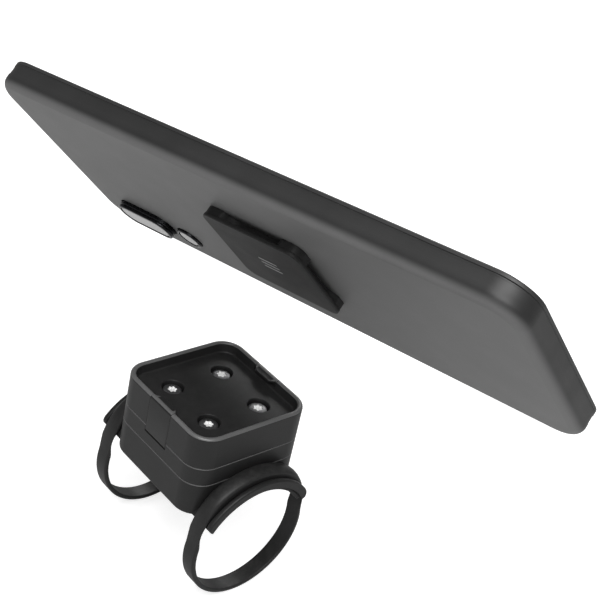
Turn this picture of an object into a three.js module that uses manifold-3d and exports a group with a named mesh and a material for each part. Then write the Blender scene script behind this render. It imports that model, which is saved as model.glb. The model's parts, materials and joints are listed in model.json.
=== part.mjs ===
// Phone mount for a bicycle stem: a strapped-on head with a latching tray,
// and the phone case whose adapter plate clicks into that tray.
// Millimetres, +Z up, +Y forward along the stem, origin on the stem's axis under the tray.

import * as THREE from 'three';
import { mergeVertices } from 'three/addons/utils/BufferGeometryUtils.js';
import Module from 'manifold-3d';

const wasm = await Module();
wasm.setup();

// ---------------------------------------------------------------- driving dimensions

// Gaps
const fitGap = 0.25;            // between pieces that rest on each other
const seamGap = 0.16;           // the hairline between two stacked housings
const slotGap = 0.2;            // each side of a lever in its slot
const pinGap = 0.09;            // pin in its lever and in its holes
const dockGap = 0.1;            // adapter plate above the tray floor
const caseGap = 0.3;            // adapter plate to the case's back
const windowHoleGap = 0.3;      // a window's bezel to its hole in the case
const insertGap = 0.1;          // insert to its hole
const beyond = 1;               // how far a cutting tool passes through a face
const overlap = 0.5;            // how deep a joined-on body reaches into its neighbour
const pocketGap = 0.35;         // adapter plate to the pocket wall, at the floor

// Stem seat
const stemRadius = 17.25;
const padThickness = 1.0;
const padHalfAngle = 57;        // degrees from the top
const padInset = 0.9;           // pad's end back from the hook's end

// Head, as one stack of base, frame and housing
const rimWall = 1.55;           // tray wall at the rim
const headCornerRadius = 6.5;
const baseCrown = 1.5;          // base over the top of its stem groove
const baseSkirtHeight = 9.9;    // how far the base's walls reach down from its top
const frameHeight = 5.5;
const housingFloor = 7.0;
const trayDepth = 3.0;
const rimRounding = 0.7;
const pocketFlare = 0.5;        // each side, from the floor to the rim
const frameHoleRadius = 2;      // corners of the opening in the middle of the frame

// Strap hooks and straps
const collarHalfAngle = 58;     // degrees from the top
const collarRise = 1.0;         // ledge over the stem groove
const lipRise = 1.4;            // lip over the ledge
const lipThickness = 1.7;
const strapWidth = 5.0;
const strapCrown = 3.0;         // strap thickness on the hook
const strapThickness = 1.4;     // and round the rest of the stem
const strapSideGap = 0.35;
const crownHalfAngle = 32;      // the thick part of a strap, in degrees from the top
const hookRelease = 4;          // degrees past the hook where a strap starts inwards
const stemReturn = 24;          // degrees past the hook where it lies on the stem

// Screws and inserts
const screwSpacing = 17.0;
const screwRadius = 1.5;
const screwHeadRadius = 2.7;
const screwHeadHeight = 1.7;
const screwChamfer = 0.35;
const screwHeadRecess = 0.8;    // head top under the tray floor
const screwBoreRadius = 1.75;
const counterboreRadius = 3.15;
const socketOuterRadius = 1.3;
const socketInnerRadius = 0.95;
const socketDepth = 1.0;
const insertOuterRadius = 2.26;
const insertBoreRadius = 1.68;
const insertLength = 2.2;

// Release levers, their pins and springs
const leverWidth = 9.4;
const leverDrop = 1.6;          // lever's lower end under the upper seam
const leverThickness = 1.65;
const leverChamfer = 0.5;
const pressDepth = 1.3;         // room behind the finger pad
const pressRoom = 0.35;         // room under it, for its corner as it swings in
const leverPivotInset = 2.2;    // pivot in from the head's side
const leverPivotDrop = 7.1;     // pivot down from the rim
const leverBossRadius = 1.7;
const noseReach = 0.85;         // nose over the edge of the adapter plate
const noseSlope = 0.2;          // nose tip under the lever's top
const noseGap = 0.2;            // nose over the plate
const pinRadius = 0.8;
const pinBearing = 1.8;         // pin in the housing at each end
const springCoilRadius = 0.95;
const springWireRadius = 0.17;
const springLength = 3.7;
const springTurns = 5;
const springBoreGap = 0.35;
const noseTopDrop = 0.1;        // lever's top under the rim

// Adapter plate
const adapterWidth = 33.0;
const adapterCornerRadius = 3.4;
const plateThickness = 1.75;
const windowHeight = 1.15;
const windowLength = 19.5;
const windowDepth = 3.6;

// Phone case
const caseWidth = 74.2;
const caseLength = 172.2;
const caseThickness = 8.2;
const caseCornerRadius = 9.2;
const caseForwardShift = 1.5;   // case middle ahead of the adapter's middle
const backEdgeRounding = 3.0;
const caseWall = 1.8;
const caseFloor = 1.1;
const bumperHeight = 1.0;
const bumperLip = 1.0;          // lip over the phone's edge
const bumperRounding = 0.45;
const cavityRounding = 1.2;

// Camera and flash windows in the case
const cameraWidth = 9.8;
const cameraLength = 21.6;
const cameraX = 24.2;
const cameraFromTop = 23.0;     // camera middle back from the case's top edge
const cameraProud = 2.15;
const cameraRim = 1.0;
const glassThickness = 0.8;
const glassRecess = 0.15;
const bezelRounding = 0.35;
const bezelInset = 0.2;         // bezel's inner end under the case's floor
const flashRadius = 4.3;
const flashGapToCamera = 2.4;   // between the two bezels' outlines
const flashProud = 0.8;
const flashRim = 0.8;

// Key covers on the case's right-hand side
const keyTravel = 0.5;
const keyHeight = 2.6;
const keyProud = 0.7;
const powerKeyLength = 11.0;
const powerKeyFromTop = 62.0;
const volumeKeyLength = 22.0;
const volumeKeyFromTop = 40.0;
const keySlotGap = 0.3;

// How the case swings up out of the tray, as it is held over the mount
const dockPivotX = 51.61;
const dockPivotY = 8.785;
const dockPivotRise = 15.75;    // over the tray floor
const dockAxis = new THREE.Vector3(-0.2019, 0.972, 0.1202).normalize();
const dockAngle = THREE.MathUtils.degToRad(47.18);

// ---------------------------------------------------------------- levels and radii that follow

const grooveRadius = stemRadius + padThickness + fitGap;
const ledgeRadius = grooveRadius + collarRise;
const lipRadius = ledgeRadius + lipRise;
const baseTop = grooveRadius + baseCrown;
const baseBottom = baseTop - baseSkirtHeight;
const frameTop = baseTop + frameHeight;
const trayFloor = frameTop + housingFloor;
const rimTop = trayFloor + trayDepth;
const pocketHalf = adapterWidth / 2 + pocketGap;
const pocketCornerRadius = adapterCornerRadius + pocketGap;
const headHalf = pocketHalf + pocketFlare + rimWall;
const headWidth = 2 * headHalf;

const strapInnerEdge = headHalf + strapSideGap;
const strapMiddle = strapInnerEdge + strapWidth / 2;
const lipInnerEdge = strapInnerEdge + strapWidth + strapSideGap;
const collarEnd = lipInnerEdge + lipThickness;
const padHalfLength = collarEnd - padInset;

const screwHeadTop = trayFloor - screwHeadRecess;
const screwHeadSeat = screwHeadTop - screwHeadHeight;
const insertTop = baseTop - seamGap;
const insertBottom = insertTop - insertLength;
const screwTip = insertBottom + fitGap;

const leverX = headHalf - leverPivotInset;
const leverPivotHeight = rimTop - leverPivotDrop;
const leverTop = rimTop - noseTopDrop;
const leverBottom = frameTop - leverDrop;
const leverHalf = leverWidth / 2;
const slotHalf = leverHalf + slotGap;
const pinHalf = leverHalf + pinBearing;
const springHeight = (leverBottom + leverPivotHeight - leverBossRadius) / 2;
const springOuterEnd = headHalf - leverThickness - fitGap;
const springInnerEnd = springOuterEnd - springLength;
const springBoreRadius = springCoilRadius + springWireRadius + springBoreGap;

const plateBottom = trayFloor + dockGap;
const plateTop = plateBottom + plateThickness;
const adapterTop = plateTop + windowHeight;
const noseBottom = plateTop + noseGap;

const caseBack = adapterTop + caseGap;
const caseFront = caseBack + caseThickness;
const shellTop = caseFront - bumperHeight - fitGap;
const cavityFloor = caseBack + caseFloor;
const caseTopEdge = caseForwardShift + caseLength / 2;
const cameraY = caseTopEdge - cameraFromTop;
const flashY = cameraY - cameraLength / 2 - flashGapToCamera - flashRadius;
const keyHeightMiddle = (cavityFloor + shellTop) / 2;
const dockPivot = new THREE.Vector3(dockPivotX, dockPivotY, trayFloor + dockPivotRise);

// ---------------------------------------------------------------- finishes

function finish(color, roughness, metalness = 0) {
  return new THREE.MeshStandardMaterial({ color, roughness, metalness });
}

const housingPlastic = () => finish(0x2b2b2c, 0.62);
const leverPlastic = () => finish(0x2d2d2e, 0.58);
const softRubber = () => finish(0x303031, 0.85);
const blackenedSteel = () => finish(0x4a4b4d, 0.35, 0.9);
const springSteel = () => finish(0x8d9093, 0.3, 1.0);
const brass = () => finish(0xb08d4a, 0.35, 1.0);
const casePlastic = () => finish(0x4b4b4c, 0.5);
const caseRubber = () => finish(0x2a2a2b, 0.75);
const smokedGlass = () => finish(0x9a9c9f, 0.12);
const bezelMetal = () => finish(0x1f2022, 0.3, 0.7);

// ---------------------------------------------------------------- making and joining solids

// One closed body from a geometry: shared corners merged, flat slivers dropped, faces out.
function closedBody(geometry) {
  const bare = geometry.clone();
  bare.deleteAttribute('normal');
  bare.deleteAttribute('uv');
  const merged = mergeVertices(bare, 1e-4);
  const corners = merged.index.array;
  const place = merged.attributes.position;
  const kept = [];
  const a = new THREE.Vector3();
  const b = new THREE.Vector3();
  const c = new THREE.Vector3();
  let sixVolumes = 0;
  for (let i = 0; i < corners.length; i += 3) {
    const [p, q, r] = [corners[i], corners[i + 1], corners[i + 2]];
    if (p === q || q === r || r === p) continue;
    kept.push(p, q, r);
    a.fromBufferAttribute(place, p);
    b.fromBufferAttribute(place, q);
    c.fromBufferAttribute(place, r);
    sixVolumes += a.dot(b.cross(c));
  }
  if (sixVolumes < 0) kept.reverse();
  merged.setIndex(kept);
  return merged;
}

function solid(geometry) {
  const body = closedBody(geometry);
  const vertProperties = new Float32Array(body.attributes.position.array);
  const triVerts = new Uint32Array(body.index.array);
  return new wasm.Manifold(new wasm.Mesh({ numProp: 3, vertProperties, triVerts }));
}

function cut(body, ...tools) {
  return tools.reduce((left, tool) => left.subtract(solid(tool)), body);
}

function join(body, ...others) {
  return others.reduce((whole, other) => whole.add(solid(other)), body);
}

function geometryOf(body) {
  if (body.isBufferGeometry) return closedBody(body);
  const mesh = body.getMesh();
  const geometry = new THREE.BufferGeometry();
  geometry.setAttribute('position', new THREE.BufferAttribute(new Float32Array(mesh.vertProperties), 3));
  geometry.setIndex(Array.from(mesh.triVerts));
  return geometry;
}

function piece(name, body, material, group) {
  const geometry = geometryOf(body);
  geometry.computeVertexNormals();
  const mesh = new THREE.Mesh(geometry, material);
  mesh.name = name;
  group.add(mesh);
  return mesh;
}

// ---------------------------------------------------------------- outlines and simple bodies

function roundedRectangle(width, length, radius) {
  const shape = new THREE.Shape();
  const x = width / 2 - radius;
  const y = length / 2 - radius;
  const quarter = Math.PI / 2;
  shape.absarc(x, y, radius, 0, quarter);
  shape.absarc(-x, y, radius, quarter, 2 * quarter);
  shape.absarc(-x, -y, radius, 2 * quarter, 3 * quarter);
  shape.absarc(x, -y, radius, 3 * quarter, 4 * quarter);
  return shape;
}

// An upright slab between two heights.
function slab(shape, bottom, top, curveSegments = 3) {
  const settings = { depth: top - bottom, bevelEnabled: false, curveSegments };
  return new THREE.ExtrudeGeometry(shape, settings).translate(0, 0, bottom);
}

// The same with both flat ends' edges rounded.
function roundedSlab(shape, bottom, top, rounding, steps = 2, curveSegments = 3) {
  const settings = {
    depth: top - bottom - 2 * rounding,
    bevelEnabled: true,
    bevelThickness: rounding,
    bevelSize: rounding,
    bevelOffset: -rounding,
    bevelSegments: steps,
    curveSegments,
  };
  return new THREE.ExtrudeGeometry(shape, settings).translate(0, 0, bottom + rounding);
}

// A shape drawn in X and Z, run along Y.
function along(shape, yLow, yHigh, curveSegments = 8) {
  const settings = { depth: yHigh - yLow, bevelEnabled: false, curveSegments };
  return new THREE.ExtrudeGeometry(shape, settings).rotateX(Math.PI / 2).translate(0, yHigh, 0);
}

function block(xLow, xHigh, yLow, yHigh, zLow, zHigh) {
  const box = new THREE.BoxGeometry(xHigh - xLow, yHigh - yLow, zHigh - zLow);
  return box.translate((xLow + xHigh) / 2, (yLow + yHigh) / 2, (zLow + zHigh) / 2);
}

function uprightRod(x, y, radius, bottom, top, sides = 20) {
  const rod = new THREE.CylinderGeometry(radius, radius, top - bottom, sides).rotateX(Math.PI / 2);
  return rod.translate(x, y, (bottom + top) / 2);
}

function rodAlongY(x, z, radius, yLow, yHigh, sides = 16) {
  const rod = new THREE.CylinderGeometry(radius, radius, yHigh - yLow, sides);
  return rod.translate(x, (yLow + yHigh) / 2, z);
}

function rodAlongX(y, z, radius, xLow, xHigh, sides = 16) {
  const rod = new THREE.CylinderGeometry(radius, radius, xHigh - xLow, sides).rotateZ(Math.PI / 2);
  return rod.translate((xLow + xHigh) / 2, y, z);
}

function turned(points, sides = 20) {
  const profile = points.map(([radius, height]) => new THREE.Vector2(radius, height));
  return new THREE.LatheGeometry(profile, sides).rotateX(Math.PI / 2);
}

// A piece of ring about the stem's axis, spread evenly about the top.
function ringSector(inner, outer, halfAngle) {
  const spread = THREE.MathUtils.degToRad(halfAngle);
  const shape = new THREE.Shape();
  shape.absarc(0, 0, outer, Math.PI / 2 - spread, Math.PI / 2 + spread);
  shape.absarc(0, 0, inner, Math.PI / 2 + spread, Math.PI / 2 - spread, true);
  return shape;
}

function mirrored(geometry) {
  return geometry.clone().scale(-1, 1, 1);
}

function cornerPlaces(spacing) {
  const half = spacing / 2;
  return [[-half, half], [half, half], [half, -half], [-half, -half]];
}

// ---------------------------------------------------------------- the head on the stem

function saddleBase() {
  const outline = roundedRectangle(headWidth, headWidth, headCornerRadius);
  const collarStart = headHalf - headCornerRadius / 2;
  let body = solid(slab(outline, baseBottom, baseTop - seamGap / 2));
  const ledge = ringSector(grooveRadius - overlap, ledgeRadius, collarHalfAngle);
  const lip = ringSector(grooveRadius - overlap, lipRadius, collarHalfAngle);
  body = join(
    body,
    along(ledge, collarStart, collarEnd),
    along(ledge, -collarEnd, -collarStart),
    along(lip, lipInnerEdge, collarEnd),
    along(lip, -collarEnd, -lipInnerEdge),
  );
  body = cut(body, rodAlongY(0, 0, grooveRadius, -collarEnd - beyond, collarEnd + beyond, 72));
  for (const [x, y] of cornerPlaces(screwSpacing)) {
    body = cut(body, uprightRod(x, y, insertOuterRadius + insertGap, 0, baseTop + beyond));
  }
  return body;
}

function saddlePad() {
  const section = ringSector(stemRadius, stemRadius + padThickness, padHalfAngle);
  return along(section, -padHalfLength, padHalfLength, 12);
}

// A closed band round the stem: thick over the hook, thin round the rest.
function strap(middle) {
  const steps = 56;
  const hookEnd = THREE.MathUtils.degToRad(collarHalfAngle + hookRelease);
  const stemStart = THREE.MathUtils.degToRad(collarHalfAngle + stemReturn);
  const crownEnd = THREE.MathUtils.degToRad(crownHalfAngle);
  const innerOnHook = ledgeRadius + fitGap;
  const innerOnStem = stemRadius + fitGap;
  const outline = (inside) => {
    const points = [];
    for (let i = 0; i < steps; i += 1) {
      const angle = (i / steps) * 2 * Math.PI;
      const fromTop = Math.min(angle, 2 * Math.PI - angle);
      const inwards = THREE.MathUtils.smoothstep(fromTop, hookEnd, stemStart);
      const thinning = THREE.MathUtils.smoothstep(fromTop, crownEnd, stemStart);
      const inner = THREE.MathUtils.lerp(innerOnHook, innerOnStem, inwards);
      const outer = THREE.MathUtils.lerp(innerOnHook + strapCrown, innerOnStem + strapThickness, thinning);
      const radius = inside ? inner : outer;
      points.push(new THREE.Vector2(-radius * Math.sin(angle), radius * Math.cos(angle)));
    }
    return points;
  };
  const shape = new THREE.Shape(outline(false));
  shape.holes.push(new THREE.Path(outline(true)));
  return along(shape, middle - strapWidth / 2, middle + strapWidth / 2);
}

// The bore for one lever's spring, shared by the frame and the housing.
function springBore() {
  return rodAlongX(0, springHeight, springBoreRadius, springInnerEnd - fitGap, headHalf - leverThickness / 2);
}

function midFrame() {
  const outline = roundedRectangle(headWidth, headWidth, headCornerRadius);
  outline.holes.push(roundedRectangle(screwSpacing / 2, screwSpacing, frameHoleRadius));
  let body = solid(slab(outline, baseTop + seamGap / 2, frameTop - seamGap / 2));
  for (const [x, y] of cornerPlaces(screwSpacing)) {
    body = cut(body, uprightRod(x, y, screwBoreRadius, baseTop - beyond, frameTop + beyond));
  }
  const notch = block(
    headHalf - leverThickness - pressDepth, headHalf + beyond, -slotHalf, slotHalf,
    leverBottom - pressRoom, frameTop + beyond,
  );
  return cut(body, notch, mirrored(notch), springBore(), mirrored(springBore()));
}

function topHousing() {
  const outline = roundedRectangle(headWidth, headWidth, headCornerRadius);
  const spare = 3 * rimRounding;
  const bottom = frameTop + seamGap / 2;
  let body = solid(roundedSlab(outline, frameTop - spare, rimTop, rimRounding));
  body = cut(body, block(-headWidth, headWidth, -headWidth, headWidth, frameTop - 2 * spare, bottom));

  // drawn at the floor's size; the bevel widens it to the rim's
  const pocketShape = roundedRectangle(2 * pocketHalf, 2 * pocketHalf, pocketCornerRadius);
  const pocket = new THREE.ExtrudeGeometry(pocketShape, {
    depth: beyond,
    bevelThickness: trayDepth,
    bevelSize: pocketFlare,
    bevelOffset: 0,
    bevelSegments: 1,
    curveSegments: 3,
  });
  pocket.translate(0, 0, rimTop);
  body = cut(body, pocket);

  for (const [x, y] of cornerPlaces(screwSpacing)) {
    body = cut(
      body,
      uprightRod(x, y, screwBoreRadius, frameTop - beyond, trayFloor),
      uprightRod(x, y, counterboreRadius, screwHeadSeat - fitGap, trayFloor + beyond, 24),
    );
  }

  const bossRoom = leverPivotHeight + leverBossRadius + slotGap;
  const outside = headHalf + beyond;
  const behindBoss = leverX - leverBossRadius - slotGap;
  const behindLever = headHalf - leverThickness - slotGap;
  const holeHalf = pinHalf + slotGap;
  const lowerSlot = block(behindBoss, outside, -slotHalf, slotHalf, frameTop - beyond, bossRoom);
  const upperSlot = block(behindLever, outside, -slotHalf, slotHalf, bossRoom - overlap, rimTop + beyond);
  const pinHole = rodAlongY(leverX, leverPivotHeight, pinRadius + pinGap, -holeHalf, holeHalf);
  for (const tool of [lowerSlot, upperSlot, pinHole, springBore()]) {
    body = cut(body, tool, mirrored(tool));
  }
  return body;
}

// The right-hand lever: finger pad below, pivot boss in the middle, nose on top.
function leverGeometry() {
  const outer = headHalf;
  const inner = headHalf - leverThickness;
  const noseTip = adapterWidth / 2 - noseReach;
  const shape = new THREE.Shape();
  shape.moveTo(inner, leverBottom);
  shape.lineTo(outer - leverChamfer, leverBottom);
  shape.lineTo(outer, leverBottom + leverChamfer);
  shape.lineTo(outer, leverTop - rimRounding);
  shape.lineTo(outer - 0.3 * rimRounding, leverTop - 0.3 * rimRounding);
  shape.lineTo(outer - rimRounding, leverTop);
  shape.lineTo(inner, leverTop);
  shape.lineTo(noseTip, leverTop - noseSlope);
  shape.lineTo(noseTip, noseBottom);
  shape.lineTo(inner, noseBottom);
  shape.closePath();
  let body = solid(along(shape, -leverHalf, leverHalf));
  body = join(body, rodAlongY(leverX, leverPivotHeight, leverBossRadius, -leverHalf, leverHalf));
  const holeEnd = leverHalf + beyond;
  body = cut(body, rodAlongY(leverX, leverPivotHeight, pinRadius + pinGap, -holeEnd, holeEnd));
  return geometryOf(body);
}

function leverPin() {
  return rodAlongY(leverX, leverPivotHeight, pinRadius, -pinHalf, pinHalf);
}

class Helix extends THREE.Curve {
  getPoint(t, target = new THREE.Vector3()) {
    const angle = 2 * Math.PI * springTurns * t;
    const run = springWireRadius + t * (springLength - 2 * springWireRadius);
    const across = springCoilRadius * Math.cos(angle);
    const up = springCoilRadius * Math.sin(angle);
    return target.set(springInnerEnd + run, across, springHeight + up);
  }
}

function leverSpring() {
  return new THREE.ExtrudeGeometry(disc(springWireRadius), {
    extrudePath: new Helix(),
    steps: 12 * springTurns,
    bevelEnabled: false,
    curveSegments: 3,
  });
}

function torxScrew(x, y) {
  const body = solid(turned([
    [0, screwTip],
    [screwRadius - screwChamfer, screwTip],
    [screwRadius, screwTip + screwChamfer],
    [screwRadius, screwHeadSeat],
    [screwHeadRadius, screwHeadSeat],
    [screwHeadRadius, screwHeadTop - screwChamfer],
    [screwHeadRadius - screwChamfer, screwHeadTop],
    [0, screwHeadTop],
  ]));
  const star = new THREE.Shape();
  for (let i = 0; i < 12; i += 1) {
    const radius = i % 2 ? socketInnerRadius : socketOuterRadius;
    const angle = (i * Math.PI) / 6;
    star[i ? 'lineTo' : 'moveTo'](radius * Math.cos(angle), radius * Math.sin(angle));
  }
  star.closePath();
  const socket = slab(star, screwHeadTop - socketDepth, screwHeadTop + beyond);
  return geometryOf(cut(body, socket)).translate(x, y, 0);
}

function threadedInsert(x, y) {
  const shape = disc(insertOuterRadius);
  const bore = new THREE.Path();
  bore.absarc(0, 0, insertBoreRadius, 0, 2 * Math.PI, true);
  shape.holes.push(bore);
  return slab(shape, insertBottom, insertTop, 10).translate(x, y, 0);
}

// ---------------------------------------------------------------- the phone side, drawn as docked

function adapterPlate() {
  const outline = roundedRectangle(adapterWidth, adapterWidth, adapterCornerRadius);
  let body = solid(slab(outline, plateBottom, adapterTop));
  // each window is a shallow circular arc let into one side, above the plate
  const half = windowLength / 2;
  const arcRadius = (half * half + windowDepth * windowDepth) / (2 * windowDepth);
  const arcMiddle = adapterWidth / 2 - windowDepth + arcRadius;
  const window = uprightRod(arcMiddle, 0, arcRadius, plateTop, adapterTop + beyond, 64);
  for (let side = 0; side < 4; side += 1) {
    body = cut(body, window.clone().rotateZ((side * Math.PI) / 2));
  }
  return body;
}

function disc(radius) {
  const shape = new THREE.Shape();
  shape.absarc(0, 0, radius, 0, 2 * Math.PI);
  return shape;
}

function stadium(width, length) {
  const shape = new THREE.Shape();
  const toCentre = (length - width) / 2;
  shape.absarc(0, toCentre, width / 2, 0, Math.PI);
  shape.absarc(0, -toCentre, width / 2, Math.PI, 2 * Math.PI);
  return shape;
}

function keySlot(length, fromTop, spare) {
  const y = caseTopEdge - fromTop;
  const half = length / 2 + spare;
  const tall = keyHeight / 2 + spare;
  return [y - half, y + half, keyHeightMiddle - tall, keyHeightMiddle + tall];
}

function caseShell() {
  const outline = roundedRectangle(caseWidth, caseLength, caseCornerRadius);
  const spare = 2 * backEdgeRounding;
  let body = solid(roundedSlab(outline, caseBack, shellTop + spare, backEdgeRounding, 3, 4));
  const insideWidth = caseWidth - 2 * caseWall;
  const insideLength = caseLength - 2 * caseWall;
  const inside = roundedRectangle(insideWidth, insideLength, caseCornerRadius - caseWall);
  body = cut(
    body,
    block(-caseWidth, caseWidth, -caseLength, caseLength, shellTop, shellTop + 2 * spare),
    roundedSlab(inside, cavityFloor, shellTop + spare, cavityRounding, 1, 4),
  );
  body = body.translate(0, caseForwardShift, 0);
  const holeOutline = stadium(cameraWidth + 2 * windowHoleGap, cameraLength + 2 * windowHoleGap);
  const cameraHole = slab(holeOutline, caseBack - beyond, cavityFloor + beyond, 4);
  body = cut(
    body,
    cameraHole.translate(cameraX, cameraY, 0),
    uprightRod(cameraX, flashY, flashRadius + windowHoleGap, caseBack - beyond, cavityFloor + beyond),
  );
  for (const [length, fromTop] of [[powerKeyLength, powerKeyFromTop], [volumeKeyLength, volumeKeyFromTop]]) {
    const [yLow, yHigh, zLow, zHigh] = keySlot(length, fromTop, keySlotGap);
    const side = caseWidth / 2;
    body = cut(body, block(side - caseWall - beyond, side + beyond, yLow, yHigh, zLow, zHigh));
  }
  return body;
}

function caseBumper() {
  const outline = roundedRectangle(caseWidth, caseLength, caseCornerRadius);
  const inset = 2 * (caseWall + bumperLip);
  const opening = roundedRectangle(caseWidth - inset, caseLength - inset, caseCornerRadius - inset / 2);
  const ring = cut(
    solid(roundedSlab(outline, shellTop + fitGap, caseFront, bumperRounding, 1, 4)),
    slab(opening, shellTop - beyond, caseFront + beyond, 4),
  );
  return ring.translate(0, caseForwardShift, 0);
}

function windowBezel(shape, lens, proud) {
  const face = caseBack - proud;
  return cut(
    solid(roundedSlab(shape, face, cavityFloor - bezelInset, bezelRounding, 1, 6)),
    slab(lens, face - beyond, face + glassThickness + glassRecess + fitGap, 6),
  );
}

function windowGlass(lens, proud) {
  const bottom = caseBack - proud + glassRecess;
  return slab(lens, bottom, bottom + glassThickness, 6);
}

function keyCover(length, fromTop) {
  const [yLow, yHigh, zLow, zHigh] = keySlot(length, fromTop, 0);
  const side = caseWidth / 2;
  return block(side - caseWall + keyTravel, side + keyProud, yLow, yHigh, zLow, zHigh);
}

// ---------------------------------------------------------------- assembly

const mount = new THREE.Group();

const head = new THREE.Group();
mount.add(head);
piece('saddle_base', saddleBase(), housingPlastic(), head);
piece('saddle_pad', saddlePad(), softRubber(), head);
piece('strap_front', strap(strapMiddle), softRubber(), head);
piece('strap_rear', strap(-strapMiddle), softRubber(), head);
piece('mid_frame', midFrame(), housingPlastic(), head);
piece('top_housing', topHousing(), housingPlastic(), head);
cornerPlaces(screwSpacing).forEach(([x, y], index) => {
  piece(`torx_screw_${index + 1}`, torxScrew(x, y), blackenedSteel(), head);
  piece(`threaded_insert_${index + 1}`, threadedInsert(x, y), brass(), head);
});
for (const [side, placed] of [['right', (geometry) => geometry], ['left', mirrored]]) {
  piece(`latch_${side}`, placed(leverGeometry()), leverPlastic(), head);
  piece(`latch_pin_${side}`, placed(leverPin()), blackenedSteel(), head);
  piece(`latch_spring_${side}`, placed(leverSpring()), springSteel(), head);
}

const phoneSide = new THREE.Group();
const swing = new THREE.Quaternion().setFromAxisAngle(dockAxis, dockAngle);
phoneSide.quaternion.copy(swing);
phoneSide.position.copy(dockPivot).sub(dockPivot.clone().applyQuaternion(swing));
mount.add(phoneSide);
piece('adapter_plate', adapterPlate(), housingPlastic(), phoneSide);
piece('case_shell', caseShell(), casePlastic(), phoneSide);
piece('case_bumper', caseBumper(), caseRubber(), phoneSide);

const cameraShape = stadium(cameraWidth, cameraLength);
const cameraLens = stadium(cameraWidth - 2 * cameraRim, cameraLength - 2 * cameraRim);
const coverInset = 2 * (cameraRim + fitGap);
const cameraCover = stadium(cameraWidth - coverInset, cameraLength - coverInset);
const cameraBezel = windowBezel(cameraShape, cameraLens, cameraProud).translate(cameraX, cameraY, 0);
const cameraGlass = windowGlass(cameraCover, cameraProud).translate(cameraX, cameraY, 0);
piece('camera_bezel', cameraBezel, bezelMetal(), phoneSide);
piece('camera_glass', cameraGlass, smokedGlass(), phoneSide);

const flashLens = disc(flashRadius - flashRim);
const flashCover = disc(flashRadius - flashRim - fitGap);
const flashBezel = windowBezel(disc(flashRadius), flashLens, flashProud).translate(cameraX, flashY, 0);
const flashGlass = windowGlass(flashCover, flashProud).translate(cameraX, flashY, 0);
piece('flash_bezel', flashBezel, bezelMetal(), phoneSide);
piece('flash_glass', flashGlass, smokedGlass(), phoneSide);

piece('power_key', keyCover(powerKeyLength, powerKeyFromTop), caseRubber(), phoneSide);
piece('volume_key', keyCover(volumeKeyLength, volumeKeyFromTop), caseRubber(), phoneSide);

export default mount;
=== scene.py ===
"""Phone mount: the strapped-on head with its latching tray, and the phone case that docks into it."""

import json
import math

import bmesh
import bpy
import numpy as np
from mathutils import Matrix, Vector


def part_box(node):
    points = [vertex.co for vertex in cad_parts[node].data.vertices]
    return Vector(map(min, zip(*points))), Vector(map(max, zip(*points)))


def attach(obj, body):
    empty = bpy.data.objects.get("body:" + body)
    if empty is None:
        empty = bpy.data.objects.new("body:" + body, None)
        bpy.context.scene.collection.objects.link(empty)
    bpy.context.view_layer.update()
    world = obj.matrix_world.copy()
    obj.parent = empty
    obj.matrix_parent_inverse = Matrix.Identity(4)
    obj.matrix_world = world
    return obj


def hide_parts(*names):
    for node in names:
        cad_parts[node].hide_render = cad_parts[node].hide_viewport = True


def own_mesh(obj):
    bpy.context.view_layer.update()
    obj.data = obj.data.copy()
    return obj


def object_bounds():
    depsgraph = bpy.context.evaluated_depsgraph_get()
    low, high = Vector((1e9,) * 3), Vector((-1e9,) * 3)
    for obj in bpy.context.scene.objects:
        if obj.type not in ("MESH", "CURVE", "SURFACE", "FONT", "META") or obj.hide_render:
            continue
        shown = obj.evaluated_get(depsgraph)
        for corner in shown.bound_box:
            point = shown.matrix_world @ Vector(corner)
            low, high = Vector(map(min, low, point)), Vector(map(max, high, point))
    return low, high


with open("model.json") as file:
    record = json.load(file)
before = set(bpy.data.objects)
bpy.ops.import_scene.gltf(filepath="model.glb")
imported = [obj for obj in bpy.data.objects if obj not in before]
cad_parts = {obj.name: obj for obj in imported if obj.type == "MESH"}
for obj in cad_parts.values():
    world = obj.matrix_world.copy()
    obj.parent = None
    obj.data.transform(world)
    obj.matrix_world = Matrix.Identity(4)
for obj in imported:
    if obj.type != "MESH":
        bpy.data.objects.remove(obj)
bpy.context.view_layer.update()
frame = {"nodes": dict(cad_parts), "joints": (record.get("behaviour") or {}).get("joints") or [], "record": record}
MM = 0.001
PAST = 1.0  # how far a cutter reaches past the face that it opens, in millimetres

# ---------------------------------------------------------------- where things are

dock = next(joint for joint in frame["joints"] if joint["name"] == "case_dock")
dock_pivot = Vector(dock["pos_m"])
dock_turn = math.radians(dock["range_deg"][0])
TO_DOCKED = (
    Matrix.Translation(dock_pivot)
    @ Matrix.Rotation(dock_turn, 4, Vector(dock["axis"]))
    @ Matrix.Translation(-dock_pivot)
)
TO_HELD = TO_DOCKED.inverted()
CASE_BACKWARD = TO_HELD.to_3x3() @ Vector((0, 0, -1))  # where the back of the held case looks


def box_mm(node):
    """A head node's corners, in millimetres."""
    low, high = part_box(node)
    return low / MM, high / MM


def docked_box_mm(node):
    """A phone-side node's corners as it sits in the tray, in millimetres."""
    spots = [TO_DOCKED @ vertex.co for vertex in frame["nodes"][node].data.vertices]
    spots = np.array(spots) / MM
    return Vector(spots.min(0)), Vector(spots.max(0))


def middle_of(low, high):
    """The middle of a box, seen from above."""
    return (low.x + high.x) / 2, (low.y + high.y) / 2


def half_sizes(low, high):
    """Half a box's size in X and in Y."""
    return (high.x - low.x) / 2, (high.y - low.y) / 2


# ---------------------------------------------------------------- outlines and lofts


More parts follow.
